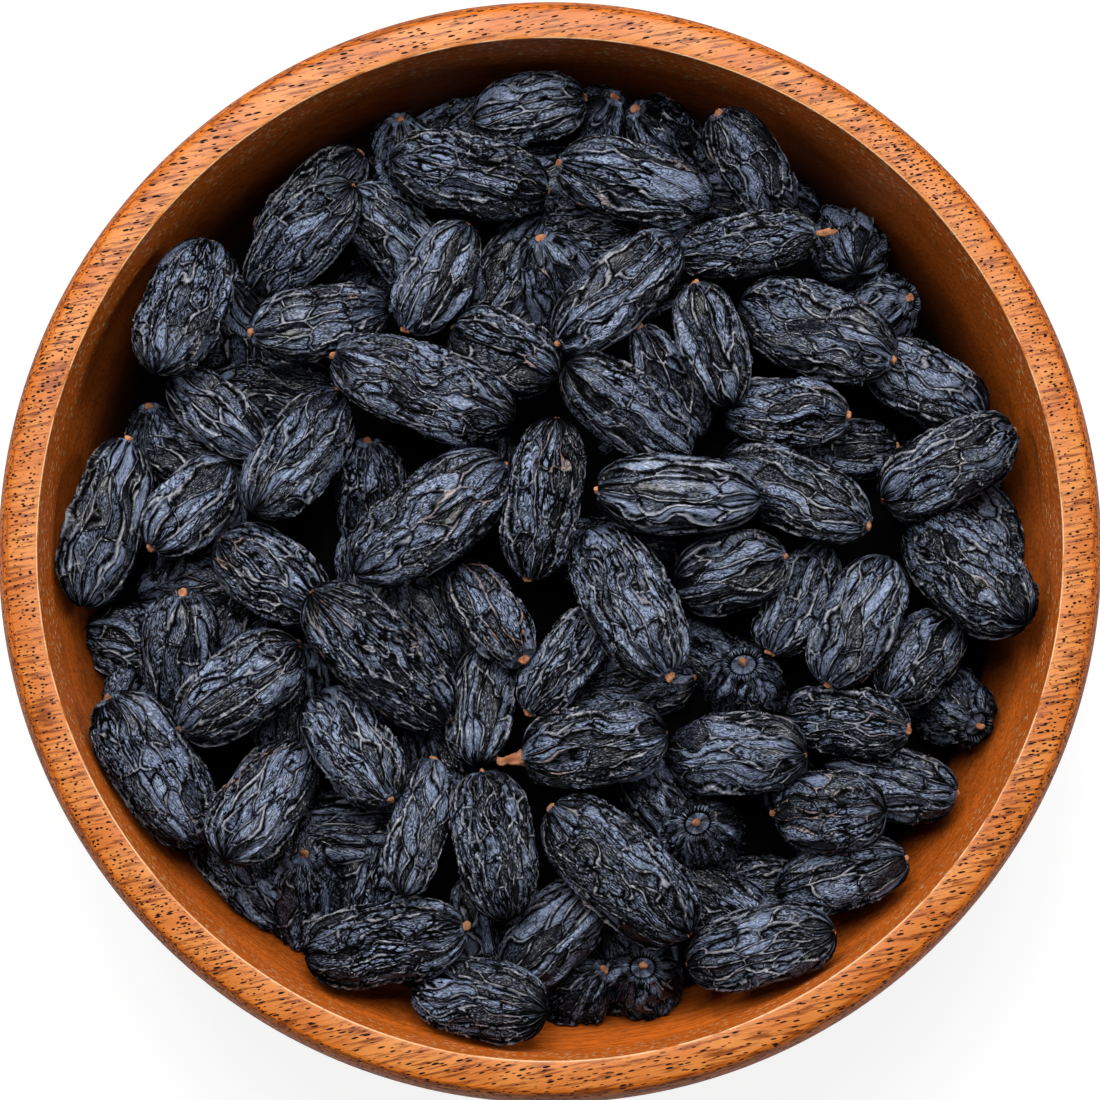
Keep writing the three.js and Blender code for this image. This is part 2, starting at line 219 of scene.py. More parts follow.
def squeezed(tree, place, stretch):
    """A place measured in cells that are so many millimetres long each way."""
    return add_node(tree, "ShaderNodeVectorMath", {0: place, 1: tuple(1 / s for s in stretch)},
                    operation="MULTIPLY").outputs[0]


def soft_pattern(tree, place, cell, detail, rough=0.5, scale=1.0, **settings):
    """Soft noise with cells that are so many millimetres long each way."""
    inputs = {"Vector": squeezed(tree, place, cell), "Scale": scale, "Detail": detail, "Roughness": rough}
    return add_node(tree, "ShaderNodeTexNoise", inputs, **settings).outputs


def pores_near(tree, place, cell, smallest, spread):
    """How far inside an open pore each place lies, in cells, from pores of random sizes."""
    pores = add_node(tree, "ShaderNodeTexVoronoi", {"Vector": squeezed(tree, place, cell), "Scale": 1.0})
    size = add_node(tree, "ShaderNodeSeparateColor", {"Color": pores.outputs["Color"]}).outputs[0]
    size = maths(tree, "MULTIPLY_ADD", size, spread, smallest)
    return maths(tree, "SUBTRACT", size, pores.outputs["Distance"])


def turned_lines(tree, spot, out):
    """Fine lines that the turning tool leaves round the bowl."""
    drift = maths(tree, "MULTIPLY", spot["X"], TURNED_DRIFT[0])
    drift = maths(tree, "MULTIPLY_ADD", spot["Y"], TURNED_DRIFT[1], drift)
    place = add_node(tree, "ShaderNodeCombineXYZ", {"X": out, "Y": spot["Z"], "Z": drift}).outputs["Vector"]
    return soft_pattern(tree, place, TURNED_CELL, 1.0)["Fac"]


def grain_colour(tree, place, streaks, turned, inside, off_flat):
    """The wood's paler and darker patches, with the inner wall brightened as painted light, and dark streaks
    along the grain and round the turned sides.
    """
    patches = soft_pattern(tree, place, PATCH_CELL, 2.0)["Fac"]
    colour = colour_mix(tree, ramp(tree, patches, 0.36, 0.64), VARNISHED_WOOD, WOOD_PALE)
    # Flat band, shoulder and inner wall take their own colours; the inner wall's is brighter as painted
    # light.
    colour = colour_mix(tree, off_flat, colour, colour_mix(tree, inside, WOOD_SIDE, WOOD_INSIDE_LIT))
    hairs = ramp(tree, streaks, 0.47, 0.62, 0.0, 0.9)
    lines = maths(tree, "MULTIPLY", ramp(tree, turned, 0.5, 0.68, 0.0, 0.8), off_flat)
    streaked = maths(tree, "MAXIMUM", hairs, lines)
    streaked = maths(tree, "MULTIPLY", streaked, ramp(tree, inside, 0.0, 1.0, 1.0, STREAKS_INSIDE))
    return colour_mix(tree, streaked, colour, WOOD_STREAK)


def edge_highlight(tree, spot, out, turned):
    """A thin broken painted highlight along the rim's eased inner edge, where its varnish catches the light.
    """
    line = maths(tree, "MULTIPLY", ramp(tree, out, RIM_INNER - 0.59, RIM_INNER - 0.55),
                 ramp(tree, out, RIM_INNER - 0.38, RIM_INNER - 0.46))
    line = maths(tree, "MULTIPLY", line, ramp(tree, spot["Z"], BOWL_HEIGHT - 1.2, BOWL_HEIGHT - 0.5))
    return maths(tree, "MULTIPLY", line, ramp(tree, turned, 0.36, 0.5))


def open_pores(tree, place, spot, bend):
    """Open pores: round dots towards the two ends of the grain, and dashes along its two sides."""
    bent = add_node(tree, "ShaderNodeVectorMath", {0: bend, 1: PORE_BEND, 2: place}, operation="MULTIPLY_ADD")
    bent = bent.outputs[0]
    across = maths(tree, "DIVIDE", maths(tree, "ABSOLUTE", spot["Y"]), BOWL_RADIUS)
    dots = pores_near(tree, bent, PORE_DOTS, 0.2, 0.16)
    dashes = pores_near(tree, bent, PORE_DASHES, 0.18, 0.18)
    dots = maths(tree, "SUBTRACT", dots, ramp(tree, across, 0.5, 0.95, 0.0, PORE_FADE))
    dashes = maths(tree, "SUBTRACT", dashes, ramp(tree, across, 0.1, 0.6, PORE_FADE, 0.0))
    return ramp(tree, maths(tree, "MAXIMUM", dots, dashes), -0.03, 0.05)


def wall_glints(tree, place, spot, inside, off_flat):
    """Painted glints on the upper inner wall: pale spots that stand for light caught by its varnished grain.
    """
    glint = ramp(tree, pores_near(tree, place, GLINT_CELL, 0.18, 0.2), -0.02, 0.06)
    glint = maths(tree, "MULTIPLY", glint, maths(tree, "MULTIPLY", inside, off_flat))
    return maths(tree, "MULTIPLY", glint, ramp(tree, spot["Z"], GLINTS_FROM, GLINTS_FROM + 4))


def darkened(tree, colour, spot, inside):
    """The wood's colour, with painted shade low on its inner wall that reaches higher towards +Y, and dim in
    the light that it throws on the fruit.
    """
    # Painted shade: the inner wall darkens downwards to near black, starting higher towards +Y.
    depth = maths(tree, "MULTIPLY_ADD", spot["Y"], -SHADE_RISE / BOWL_RADIUS, spot["Z"])
    deep = maths(tree, "MULTIPLY", ramp(tree, depth, SHADE_FROM, SHADE_TO), inside)
    colour = colour_mix(tree, deep, colour, WOOD_SHADE_COLOUR)
    light = add_node(tree, "ShaderNodeLightPath").outputs
    bounced = maths(tree, "MAXIMUM", light["Is Diffuse Ray"], light["Is Glossy Ray"])
    return colour_mix(tree, maths(tree, "MULTIPLY", bounced, BOUNCE_DARK), colour, WOOD_SHADE_COLOUR)


def varnished_wood():
    """Orange-brown wood with streaks along its grain and open pores, its flat rim under satin varnish."""
    material, tree, shader = new_material("varnished_wood", WOOD_ROUGH, Specular_IOR_Level=0.2,
                                          Coat_Roughness=0.3)
    place = grain_place(tree)
    spot = add_node(tree, "ShaderNodeSeparateXYZ", {"Vector": place}).outputs
    out = maths(tree, "SQRT", maths(tree, "MULTIPLY_ADD", spot["X"], spot["X"],
                                    maths(tree, "MULTIPLY", spot["Y"], spot["Y"])))
    off_flat = maths(tree, "MAXIMUM", ramp(tree, out, RIM_OUTER - 0.5, RIM_OUTER + 0.3),
                     ramp(tree, spot["Z"], BOWL_HEIGHT - 0.02, BOWL_HEIGHT - 0.5))
    inner_face = add_node(tree, "ShaderNodeAttribute", attribute_name="inner_face").outputs["Fac"]
    inside = maths(tree, "MULTIPLY", inner_face, ramp(tree, out, RIM_INNER + 0.2, RIM_INNER - 0.4))
    streaks = soft_pattern(tree, place, STREAK_CELL, 4.0, 0.65)
    turned = turned_lines(tree, spot, out)

    colour = grain_colour(tree, place, streaks["Fac"], turned, inside, off_flat)
    # Painted highlight: a thin pale line along the rim's eased inner edge.
    colour = colour_mix(tree, edge_highlight(tree, spot, out, turned), colour, WOOD_EDGE_HIGHLIGHT)
    pore = open_pores(tree, place, spot, streaks["Color"])
    pore = maths(tree, "MULTIPLY", pore, ramp(tree, inside, 0.0, 1.0, 1.0, PORES_INSIDE))
    colour = colour_mix(tree, pore, colour, PORE)
    # Painted glints: pale spots on the upper inner wall.
    colour = colour_mix(tree, wall_glints(tree, place, spot, inside, off_flat), colour, WOOD_GLINT)
    tree.links.new(darkened(tree, colour, spot, inside), shader.inputs["Base Color"])
    tree.links.new(maths(tree, "MULTIPLY_ADD", pore, PORE_ROUGH, WOOD_ROUGH), shader.inputs["Roughness"])
    dull = maths(tree, "MAXIMUM", pore, off_flat)
    tree.links.new(ramp(tree, dull, 0.0, 1.0, RIM_COAT, 0.0), shader.inputs["Coat Weight"])
    relief = {"Strength": 0.8, "Distance": 0.0001, "Height": streaks["Fac"]}
    tree.links.new(add_node(tree, "ShaderNodeBump", relief).outputs["Normal"], shader.inputs["Normal"])
    return material


outside, inner_side = bowl_outside(), bowl_inside()[1:]
bowl = new_piece("turned_bowl", *turned_form(np.vstack([outside, inner_side]), BOWL_SIDES))
inner_face = np.arange(len(bowl.data.vertices)) >= (len(outside) - 1) * BOWL_SIDES
inner_face[-2] = False
inner_mask = bowl.data.attributes.new("inner_face", "FLOAT", "POINT")
inner_mask.data.foreach_set("value", inner_face.astype(np.float32))
bowl.data.materials.append(varnished_wood())
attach(bowl, "root")
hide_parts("bowl")


# Raisins: grapes dried whole, each a soft blue-black body whose skin has shrunk into long plates between
# thin crests and creases. A flat or dished disc closes the stem end, with ribs round it and the dried cap
# stem, an orange-brown stub, in its middle.
FLATNESS = 0.88
OUTLINE_POWER = 3
CAD_STUB_RADIUS = 0.6
CAD_STUB_AT = 0.88
CAD_WIDTHS = 2.03
STUB_RADIUS = 0.5
DISC_AT = 0.965
ROSETTE_AT = 0.9
SKIN_OVER = 0.2
SUNKEN = (0.1, 0.72)
LEAN_ACROSS = 0.75
LEAN_ALONG = 0.22
PANEL_SUNK = 0.62
PANEL_NET = 0.12
FOLD_DEPTH = 0.5
WALL_REACH = 0.2
VALLEY_REACH = 0.17
VALLEY_DEPTH = 0.2
BESIDE_AT = 0.24
BESIDE_REACH = 0.1
BESIDE_DEPTH = 0.18
SMALL_CELLS = 2.3
MESH_REACH = 0.1
MESH_DEPTH = 0.2
MESH_SWELL = 0.5
MESH_SWELL_AT = 0.3
LUMP_HEIGHT = 0.26
QUICK_HEIGHT = 0.04
END_SHARE = 0.16

SKIN_DARK = (0.005, 0.006, 0.009, 1)
# Pale blue-grey of the plates: partly the skin's waxy bloom, partly painted sheen.
SKIN_BLOOM_AND_SHEEN = (0.285, 0.350, 0.520, 1)
# Painted shade, near black, in the creases, beside the crests and between the fine wrinkles.
SKIN_CREASE_SHADE = (0.0006, 0.0006, 0.0009, 1)
# Painted highlight along the crests, warmer where the skin is brownish.
CREST_HIGHLIGHT = (0.33, 0.335, 0.375, 1)
BROWN_CREST_HIGHLIGHT = (0.32, 0.17, 0.11, 1)
CAP_STEM = (0.88, 0.42, 0.22, 1)
CAP_STEM_DARK = (0.45, 0.13, 0.05, 1)
SKIN_ROUGH = 0.6
SKIN_COAT = 0.97
WAVE_CELL = (2.3, 0.9, 1)
GRAIN_CELL = (1.5, 1, 1)
GRAIN_SCALE = 3.6
FINE_WAVES = 6.0
RAGGED = 0.14


def hashed(*numbers):
    """A steady random value from 0 to 1 for each set of whole numbers."""
    mix = np.zeros(np.broadcast_shapes(*[np.shape(number) for number in numbers]), np.uint32)
    with np.errstate(over="ignore"):
        for number in numbers:
            mix = (mix ^ np.asarray(number, np.int64).astype(np.uint32)) * np.uint32(0x9E3779B1)
            mix = (mix ^ (mix >> np.uint32(15))) * np.uint32(0x85EBCA6B)
            mix = mix ^ (mix >> np.uint32(13))
    return mix / 2.0 ** 32


def soft_noise(place, seed):
    """Smooth noise from -1 to 1 at places given in cells."""
    corner = np.floor(place)
    share = place - corner
    share = share * share * (3 - 2 * share)
    corner = corner.astype(np.int64)
    total = 0
    for step in np.ndindex(2, 2, 2):
        weight = np.prod(np.where(step, share, 1 - share), axis=-1)
        total = total + weight * hashed(*(corner[..., k] + step[k] for k in range(3)), seed)
    return total * 2 - 1


def skin_cells(along, around, cells_round, length, breadth, seed):
    """The plate that each place on the skin lies in: how far its nearest edge is in millimetres, how far
    along and across its middle the place is in cells, and its own number."""
    row = np.floor(along).astype(np.int64)
    column = np.floor(around).astype(np.int64)
    middles, numbers = [], []
    for step in np.ndindex(3, 3):
        u = row + step[0] - 1
        v = column + step[1] - 1
        wrapped = v % cells_round
        middles.append((u + 0.1 + 0.8 * hashed(u, wrapped, seed),
                        v + 0.1 + 0.8 * hashed(u, wrapped, seed + 71)))
        numbers.append(u * 1000 + wrapped)
    middles = np.array(middles)
    here = np.stack([along, around])
    nearest = np.argmin(((middles - here) ** 2).sum(1), axis=0)
    own = np.take_along_axis(middles, nearest[None, None], axis=0)[0]
    number = np.take_along_axis(np.array(numbers), nearest[None], axis=0)[0]
    across = middles - own
    span = np.sqrt((across[:, 0] / length) ** 2 + (across[:, 1] / breadth) ** 2)
    reach = (((middles + own) / 2 - here) * across).sum(1) / np.maximum(span, 1e-9)
    reach[span < 1e-6] = 9
    return reach.min(0), here - own, number


def raisin_profile(half, width, stem, rows, look):
    """Profile of a raisin from its tip over the body, its disc and its cap stem, as place along it and
    radius, with a number that says which of the three it is on."""
    disc_at = look["disc_at"]
    turn = np.linspace(0, np.arccos(-disc_at), rows)
    place = -np.cos(turn)
    radius = np.sqrt(1 - np.abs(place) ** OUTLINE_POWER) * width / 2
    body = np.stack([place * half, radius, np.zeros(rows)], 1)
    steps = max(4, rows // 12)
    share = np.linspace(0, 1, steps + 1)[1:]
    foot = look["stub"] * 1.1
    dished = -look["dish"] * np.sin(np.pi * share ** 0.8) - 0.1 * share
    disc = np.stack([disc_at * half + dished, radius[-1] + (foot - radius[-1]) * share, np.ones(steps)], 1)
    steps = max(4, rows // 14)
    share = np.linspace(0, 1, steps + 1)[1:]
    reach = half + stem - disc[-1, 0]
    stub = foot * (1 - look["waist"] * share + look["flare"] * share ** 3)
    stub = stub * np.sqrt(np.clip(1 - share ** 8, 0, 1))
    return np.vstack([body, disc, np.stack([disc[-1, 0] + reach * share, stub, np.full(steps, 2.0)], 1)])


def sunken_panel(panel, x, arc, edge, level, lean, net):
    """One long smooth plate with rounded ends let into the skin in place of those that lie there."""
    middle, aside, length, breadth = panel
    share = np.clip(np.abs(x - middle) / (length / 2), 0, 1.5)
    inside = breadth / 2 * (1 - share ** 7) - np.abs(arc - aside)
    edge = np.where(inside > 0, inside, np.minimum(edge, -inside))
    level = np.where(inside > 0, PANEL_SUNK, level)
    return edge, level, np.where(inside > 0, 0, lean), np.where(inside > 0, PANEL_NET, net)


def skin_relief(x, turn, ring, half, width, seed, look):
    """Height of the shrunken skin over a raisin's body, with the masks of its crests and creases."""
    girth = width / 2
    place = np.stack([x, girth * np.cos(turn), girth * np.sin(turn)], -1)
    slow = soft_noise(place / (4.2, 3.0, 3.0) + 31, seed)
    quick = soft_noise(place / (2.0, 1.3, 1.3) + 57, seed + 1)
    lumps = soft_noise(place / (5.5, 4.0, 4.0) + 11, seed + 2)
    drift = 1.1 * soft_noise(place / (3.5, 2.0, 2.0) + 83, seed + 3)
    mood = soft_noise(place / 2.4 + 5, seed + 4)
    bent = turn + 0.3 * slow + 0.12 * quick

    broad, long = look["broad"], look["broad"] * look["stretch"]
    cells_round = max(4, round(np.pi * width / broad))
    along = (x + drift) / long + 40 + 3 * hashed(seed, 6)
    around = bent * cells_round / (2 * np.pi)
    edge, off, plate = skin_cells(along, around, cells_round, long, broad * ring, seed + 10)
    level = SUNKEN[0] + (SUNKEN[1] - SUNKEN[0]) * hashed(plate, seed + 31)
    lean = LEAN_ACROSS * (hashed(plate, seed + 32) - 0.5) * off[1] * broad * ring
    lean = lean + LEAN_ALONG * (hashed(plate, seed + 33) - 0.5) * off[0] * long
    net = np.clip(look["net"] + 0.6 * mood, 0, 1)
    if look["panel"]:
        arc = girth * (turn - np.pi / 2) + 0.35 * quick
        edge, level, lean, net = sunken_panel(look["panel"], x + 0.3 * drift, arc, edge, level, lean, net)
    wall = 1 - np.exp(-(np.maximum(edge, 0) / WALL_REACH) ** 1.5)
    height = SKIN_OVER + look["depth"] * wall * (lean - level)

    fold = bent * look["folds"] / (2 * np.pi) + hashed(seed, 5)
    fold = 2 * np.abs(fold - np.round(fold))
    height = height - FOLD_DEPTH * look["depth"] * fold ** 1.3
    to_valley = (1 - fold) * np.pi * width * ring / look["folds"] / 2
    valley = np.exp(-(to_valley / VALLEY_REACH) ** 2)
    beside = np.exp(-((edge - BESIDE_AT) / BESIDE_REACH) ** 2) * np.clip(0.5 + 0.8 * mood, 0, 1)
    small_round = cells_round * 2
    small = skin_cells(along * SMALL_CELLS + 0.2 * quick, around * 2, small_round, long / SMALL_CELLS,
                       broad / 2 * ring, seed + 20)[0]
    meshed = np.exp(-(small / MESH_REACH) ** 2) * net
    height = height - BESIDE_DEPTH * beside - VALLEY_DEPTH * valley - MESH_DEPTH * meshed
    height = height + MESH_SWELL * net * np.minimum(small, MESH_SWELL_AT)
    height = height + LUMP_HEIGHT * lumps + QUICK_HEIGHT * quick
    ends = np.clip((1 - np.abs(x / half)) / END_SHARE, 0, 1)
    cut = np.minimum(to_valley + 0.1 - 0.16 * quick, small + 0.45 * (1 - net))
    tone = np.clip(0.5 + 0.7 * (hashed(plate, seed + 34) - 0.5) + 0.25 * mood, 0, 1)
    brown = np.clip(look["brown"] + 1.6 * soft_noise(place / 5 + 19, seed + 8), 0, 1)
    masks = {"edge": edge + 0.14 * (1 - ring), "cut": cut, "net": net, "tone": tone, "brown": brown}
    return height * (0.35 + 0.65 * ends), masks


def raisin_form(half, width, stem, rows, turns, seed, look):
    """Points of a raisin along X with its stem end at +X, in millimetres, row by row, with the masks of its
    skin and a flat chart of it."""
    profile = raisin_profile(half, width, stem, rows, look)
    run = np.gradient(profile[:, :2], axis=0)
    out = np.stack([-run[:, 1], run[:, 0]], 1)
    out /= np.maximum(np.linalg.norm(out, axis=1, keepdims=True), 1e-9)
    x, radius, zone = (profile[1:-1, k:k + 1] for k in range(3))
    x, turn = np.broadcast_arrays(x, turns[None, :])
    ring = np.broadcast_to(np.clip(radius / (width / 2), 0.2, 1), x.shape)
    on_body, on_disc, on_stub = (np.broadcast_to(zone == k, x.shape) for k in range(3))
    height, masks = skin_relief(x, turn, ring, half, width, seed, look)

    share = np.clip(radius / profile[rows - 1, 1], 0, 1)
    rib = np.cos(look["ribs"] * turn)
    collar = np.exp(-((share - 0.86) / 0.16) ** 2)
    moat = np.exp(-((share - 0.58) / 0.09) ** 2)
    disc = look["ring"] * (0.34 * collar + 0.14 * collar * rib - 0.25 * moat) + 0.03 * rib * share
    near_disc = np.clip((x / half - look["disc_at"] + 0.09) / 0.09, 0, 1) * on_body
    height = np.where(on_disc, disc, height + 0.09 * look["ring"] * rib * near_disc)
    rough = soft_noise(np.stack([x, radius * np.cos(turn), radius * np.sin(turn)], -1) * 1.9 + 3, seed + 7)
    height = np.where(on_stub, 0.3 * rough * (radius > 0.1), height)

    px = x + out[1:-1, :1] * height
    reach = np.maximum(radius + out[1:-1, 1:] * height, 0.02)
    reach = reach * np.where(on_stub, 1, 1 + look["taper"] * np.clip(x / half, -1, 1))
    points = np.stack([px, reach * np.cos(turn), reach * np.sin(turn) * FLATNESS], -1).reshape(-1, 3)
    points = np.vstack([points, (profile[0, 0] + 0.05, 0, 0), (profile[-1, 0], 0, 0)])

    # The disc's ribs and grooves are shaded through the skin's crest and crease masks: painted highlight and
    # painted shade.
    ribbed = look["ring"] * collar * (0.5 + 0.5 * rib)
    groove = look["ring"] * np.maximum(moat, np.clip((share - 0.6) / 0.1, 0, 1) * (0.5 - 0.5 * rib))
    masks["edge"] = np.where(on_disc, 0.6 - 0.45 * ribbed, masks["edge"])
    masks["cut"] = np.where(on_disc, 0.5 - 0.46 * groove, masks["cut"])
    masks["stalk"] = on_stub * 1.0
    masks["stalk"] = np.maximum(masks["stalk"], look["scar"] * (radius < 0.4) * (x < 0))
    masks["lit"] = np.where(on_stub, np.clip(0.6 + 0.7 * rough, 0, 1), 0.4)
    masks = {key: np.append(mask.ravel(), (mask[0, 0], mask[-1, 0])) for key, mask in masks.items()}
    chart = np.stack([x, width / 2 * (turn - np.pi / 2), 0 * x], -1).reshape(-1, 3)
    chart = np.vstack([chart, chart[0], chart[-1]]) + 40 * hashed(seed, 9)
    return points, masks, chart


def laid(points, axis, middle):
    """Points lying along X, laid along an axis with their flat side down."""
    axis = np.array(axis, float) / np.linalg.norm(axis)
    across = np.cross((0, 0, 1), axis)
    across /= np.linalg.norm(across)
    up = np.cross(axis, across)
    return points[:, :1] * axis + points[:, 1:2] * across + points[:, 2:] * up + middle


def column_turns(columns, even):
    """Turns round a raisin from its underside, closer together on its upper side unless they are even."""
    turn = np.linspace(-np.pi / 2, 3 * np.pi / 2, 1440)
    crowd = np.where((np.sin(turn) > -0.3) | even, 1, 0.2)
    share = np.concatenate([[0], np.cumsum(crowd[:-1])]) / crowd[:-1].sum()
    return np.interp(np.arange(columns) / columns, share, turn)


def raisin_piece(name, points, masks, chart, columns, faces_kept):
    """A raisin's skin in full detail, thinned to faces_kept triangles with its sharp folds kept."""
    rings = (len(points) - 2) // columns
    whole = new_piece(name, points, ring_faces(rings, columns))
    mesh = whole.data
    for key, values in masks.items():
        mesh.attributes.new(key, "FLOAT", "POINT").data.foreach_set("value", values.astype(np.float32))
    chart = chart.astype(np.float32).ravel()
    mesh.attributes.new("chart", "FLOAT_VECTOR", "POINT").data.foreach_set("vector", chart)
    thin = whole.modifiers.new("thin", "DECIMATE")
    thin.ratio = min(1, faces_kept / (2 * rings * columns))
    thinned = bpy.data.meshes.new_from_object(whole.evaluated_get(bpy.context.evaluated_depsgraph_get()))
    whole.modifiers.clear()
    whole.data = thinned
    bpy.data.meshes.remove(mesh)
    thinned.name = name
    thinned.shade_smooth()
    return whole


def look_of(seed, special):
    """How a raisin's skin has shrunk: drawn steadily for each one, with what is special to it."""
    draw = [float(hashed(seed, k, 77)) for k in range(9)]
    look = {
        "folds": 6 + int(3 * draw[0]),
        "broad": 1.4 + 0.6 * draw[1],
        "stretch": 2.6 + 1.6 * draw[2],
        "depth": 1.0 + 0.4 * draw[3],
        "net": 0.42 + 0.4 * draw[4] ** 2,
        "brown": -0.85 + 0.5 * draw[8],
        "ribs": 26 + int(8 * draw[5]),
        "taper": 0.1 * (draw[6] - 0.5),
        "scar": float(draw[7] > 0.6),
        "disc_at": DISC_AT,
        "dish": 0.15,
        "ring": 0.35,
        "stub": STUB_RADIUS,
        "waist": 0.3,
        "flare": 0.0,
        "panel": None,
    }
    return look | special


def skin_colour(tree, mask, waves, grain, fine):
    """Blue-grey plates, partly waxy bloom and partly painted sheen, darker towards their edges as painted
    shade, between thin crests with a painted highlight and black creases of painted shade, with painted
    shadow beside the crests. Gives the colour and the creases.
    """
    net, cut = mask("net"), mask("cut")
    ragged = maths(tree, "MULTIPLY_ADD", grain, RAGGED, -RAGGED / 2)
    edge = maths(tree, "MULTIPLY_ADD", ragged, 0.4, mask("edge"))
    # Painted highlight along the crests.
    crest = maths(tree, "MULTIPLY", ramp(tree, edge, 0.12, 0.04), ramp(tree, waves, 0.4, 0.52))
    # Painted shadow beside the crests, and where they are bare of waves.
    beside = maths(tree, "MULTIPLY", ramp(tree, edge, 0.09, 0.15), ramp(tree, edge, 0.38, 0.2))
    beside = maths(tree, "MULTIPLY", beside, ramp(tree, waves, 0.74, 0.5))
    bare = maths(tree, "MULTIPLY", ramp(tree, edge, 0.16, 0.06), ramp(tree, waves, 0.44, 0.36))
    beside = maths(tree, "MAXIMUM", beside, bare)
    # Painted shade between the fine wrinkles.
    small = maths(tree, "MULTIPLY", ramp(tree, fine, 0.15, 0.05), ramp(tree, net, 0.2, 0.8))
    crease = maths(tree, "MAXIMUM", ramp(tree, maths(tree, "ADD", cut, ragged), 0.24, 0.1),
                   maths(tree, "MAXIMUM", beside, small))
    plate = maths(tree, "MULTIPLY_ADD", grain, 0.4, maths(tree, "MULTIPLY_ADD", mask("tone"), 0.7, -0.1))
    plate = maths(tree, "MULTIPLY_ADD", ramp(tree, fine, 0.05, 0.4), 0.25, plate)
    # Plates darker towards their edges: painted shade.
    plate = maths(tree, "MULTIPLY", ramp(tree, plate, 0.34, 0.98), ramp(tree, edge, 0.1, 0.6, 0.45, 1.0))
    # Plate colour: partly waxy bloom, partly painted sheen.
    colour = colour_mix(tree, plate, SKIN_DARK, SKIN_BLOOM_AND_SHEEN)
    colour = colour_mix(tree, crease, colour, SKIN_CREASE_SHADE)
    crest_highlight_colour = colour_mix(tree, mask("brown"), CREST_HIGHLIGHT, BROWN_CREST_HIGHLIGHT)
    return colour_mix(tree, crest, colour, crest_highlight_colour), crease


def raisin_skin():
    """Waxy blue-black skin with fine creases that no mesh is fine enough for, and orange-brown cap stems."""
    material, tree, shader = new_material("raisin_skin", SKIN_ROUGH, Specular_IOR_Level=0.06,
                                          Coat_Roughness=0.25)

    def mask(name):
        return add_node(tree, "ShaderNodeAttribute", attribute_name=name).outputs["Fac"]

    chart = add_node(tree, "ShaderNodeAttribute", attribute_name="chart").outputs["Vector"]
    waves = soft_pattern(tree, chart, WAVE_CELL, 2.0, noise_dimensions="2D")["Fac"]
    grain = soft_pattern(tree, chart, GRAIN_CELL, 2.0, scale=GRAIN_SCALE, noise_dimensions="2D")["Fac"]
    fine = maths(tree, "PINGPONG", maths(tree, "MULTIPLY", waves, FINE_WAVES), 0.5)
    colour, crease = skin_colour(tree, mask, waves, grain, fine)
    stalk = ramp(tree, mask("stalk"), 0.5, 0.8)
    colour = colour_mix(tree, stalk, colour, colour_mix(tree, mask("lit"), CAP_STEM_DARK, CAP_STEM))
    tree.links.new(colour, shader.inputs["Base Color"])
    dull = maths(tree, "MAXIMUM", crease, stalk)
    tree.links.new(maths(tree, "MULTIPLY_ADD", dull, 0.3, SKIN_ROUGH), shader.inputs["Roughness"])
    tree.links.new(maths(tree, "MULTIPLY_ADD", dull, -SKIN_COAT, SKIN_COAT), shader.inputs["Coat Weight"])
    height = maths(tree, "MULTIPLY", maths(tree, "MULTIPLY_ADD", mask("net"), 0.36, 0.03), fine)
    relief = {"Strength": 0.8, "Distance": 0.001, "Height": height}
    normal = add_node(tree, "ShaderNodeBump", relief).outputs["Normal"]
    tree.links.new(normal, shader.inputs["Normal"])
    tree.links.new(normal, shader.inputs["Coat Normal"])
    return material


def raisin_in(node):
    """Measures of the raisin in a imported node: half its length, its width, its cap stem's length, its axis
    and its middle."""
    points = np.array([vertex.co for vertex in nodes[node].data.vertices]) / MM
    points = np.unique(points.round(4), axis=0)
    apart = np.linalg.norm(points[:, None] - points[None], axis=2)
    one, other = np.unravel_index(np.argmax(apart), apart.shape)
    tip, apex = points[one], points[other]
    axis = (apex - tip) / np.linalg.norm(apex - tip)
    along = (points - tip) @ axis
    aside = np.linalg.norm(points - tip - along[:, None] * axis, axis=1)
    ring = along[(aside > 0.2) & (aside < CAD_STUB_RADIUS * 1.4)]
    if ring.mean() < along.max() / 2:
        tip, apex, axis = apex, tip, -axis
        ring = along.max() - ring
    half = ring.mean() / (1 + CAD_STUB_AT)
    stem = np.linalg.norm(apex - tip) - 2 * half
    across = np.cross((0, 0, 1), axis)
    across /= np.linalg.norm(across)
    width = np.abs((points - tip) @ across).max() * CAD_WIDTHS
    return half, width, stem, axis, tip + axis * half


ROSETTE = {"disc_at": ROSETTE_AT, "dish": 0.3, "ring": 1.0, "stub": 0.44}
SPECIAL = {
    3: {"waist": 0.7, "flare": 1.0, "stub": 0.45},
    21: {"broad": 1.9, "stretch": 3.6, "net": 0.05, "depth": 1.4},
    28: {"broad": 1.2, "net": 0.7},
    29: {"waist": 1.15, "flare": 0.85, "stub": 1.0},
    38: ROSETTE,
    40: {"broad": 1.2, "net": 0.65, "brown": -0.5},
    44: {"broad": 1.7, "stretch": 5.0, "panel": (0.4, 0.2, 10.5, 3.1), "net": 0.1},
    47: {"brown": 0.5, "disc_at": ROSETTE_AT},
    56: ROSETTE,
}
LONG_STEM = 2
SHORT_STEM = 0.15
STEM_MORE = 0.4
UPPERMOST = 46
SEPARATE = 58
SEED_STEP = 100
SKIN_GRID = (116, 150)
UPPERMOST_FACES = 12500
COVERED_FACES = 9000

